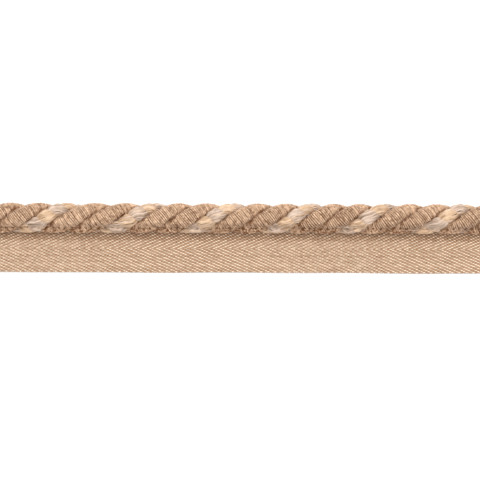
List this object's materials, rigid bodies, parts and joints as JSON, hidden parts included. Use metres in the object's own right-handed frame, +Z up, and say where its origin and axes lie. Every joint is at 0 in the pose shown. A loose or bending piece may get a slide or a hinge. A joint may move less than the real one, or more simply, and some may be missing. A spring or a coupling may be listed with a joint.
{
  "type": "flanged decorative cord",
  "caption": "Cut length of twisted three-strand upholstery cord sewn along one edge of a flat herringbone tape, for setting into a seam.",
  "frame": {"origin": "on the surface that the trimming lies on, under the middle of its box", "axes": "+X along the cord, -Y from the cord towards the free edge of the tape, +Z up from the surface"},
  "size_m": [0.16, 0.022, 0.0093],
  "materials": {
    "lustrous_yarn": "lustrous filament yarn in silver white and pale gold bundles",
    "wrapped_yarn": "matte soft yarn wrapped closely round a core, warm tan",
    "herringbone_tape": "close herringbone twill weave with a slight sheen, light tan"
  },
  "bodies": {
    "root": {"strand_light": "lustrous_yarn", "strand_wrapped_a": "wrapped_yarn", "strand_wrapped_b": "wrapped_yarn", "tape": "herringbone_tape"}
  },
  "joints": []
}
